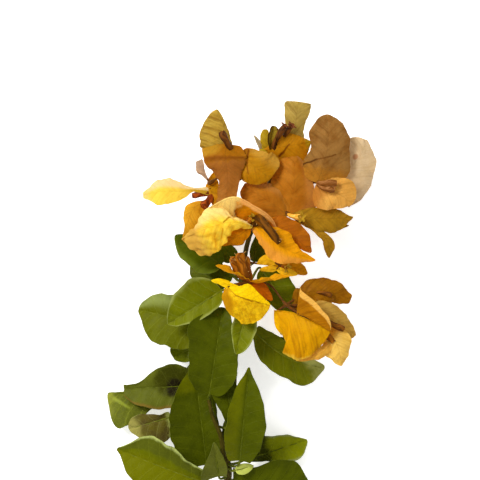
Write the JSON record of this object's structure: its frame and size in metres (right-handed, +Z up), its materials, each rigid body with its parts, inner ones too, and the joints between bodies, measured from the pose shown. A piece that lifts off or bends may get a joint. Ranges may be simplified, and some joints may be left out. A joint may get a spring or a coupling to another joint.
{
  "type": "bougainvillea sprig",
  "caption": "Cut flowering shoot of bougainvillea lying on its side, with a leafy stem, papery yellow-orange bracts and slim tubular flowers.",
  "frame": {"origin": "on the ground the sprig lies on, under the centre of its bounding box", "axes": "+Z up from the ground, +Y along the stem from its cut end to its flowering head, +X to the right as seen from above"},
  "size_m": [0.177, 0.2634, 0.0757],
  "materials": {
    "bark": "matt green-brown young bark",
    "bract_yellow": "thin papery bract, bright yellow, veined, lets light through",
    "bract_gold": "thin papery bract, gold-orange, veined, lets light through",
    "bract_ochre": "thin papery bract, olive-ochre, veined, lets light through",
    "bract_rust": "thin papery bract, rust-orange, veined, lets light through",
    "bract_tan": "thin papery bract, pale tan, veined, lets light through",
    "leaf_light": "soft leaf, pale yellow-green",
    "leaf_green": "soft leaf, olive green, paler midrib",
    "leaf_dark": "soft leaf, dark green",
    "flower_tube": "slim downy flower tube, red-brown",
    "flower_cream": "small cream flower mouth"
  },
  "bodies": {
    "root": {"bloom_crest": "bract_ochre", "bloom_crown": "bract_ochre", "bloom_cup": "bract_yellow", "bloom_hood": "bract_gold", "bloom_left": "bract_yellow", "bloom_low": "bract_gold", "bloom_middle": "bract_rust", "bloom_right": "bract_tan", "bloom_under_left": "bract_gold", "bloom_under_low": "bract_gold", "bloom_under_middle": "bract_rust", "bloom_under_right": "bract_ochre", "bloom_withered": "bract_tan", "bloom_young": "bract_gold", "leaf_01": "leaf_green", "leaf_02": "leaf_green", "leaf_03": "leaf_light", "leaf_04": "leaf_green", "leaf_05": "leaf_dark", "leaf_06": "leaf_green", "leaf_07": "leaf_green", "leaf_08": "leaf_dark", "leaf_09": "leaf_green", "leaf_10": "leaf_light", "leaf_11": "leaf_green", "leaf_12": "leaf_dark", "leaf_13": "leaf_green", "leaf_14": "leaf_dark", "leaf_15": "leaf_green", "leaf_16": "leaf_green", "leaf_17": "leaf_green", "leaf_18": "leaf_green", "leaf_19": "leaf_dark", "leaf_20": "leaf_dark", "leaf_21": "leaf_dark", "leaf_22": "leaf_dark", "leaf_23": "leaf_dark", "leaf_24": "leaf_dark", "leaf_25": "leaf_dark", "leaf_26": "leaf_dark", "leaf_27": "leaf_light", "main_stem": "bark", "side_shoot": "bark", "twig_left": "bark", "twig_low": "bark", "twig_right": "bark"}
  },
  "joints": []
}
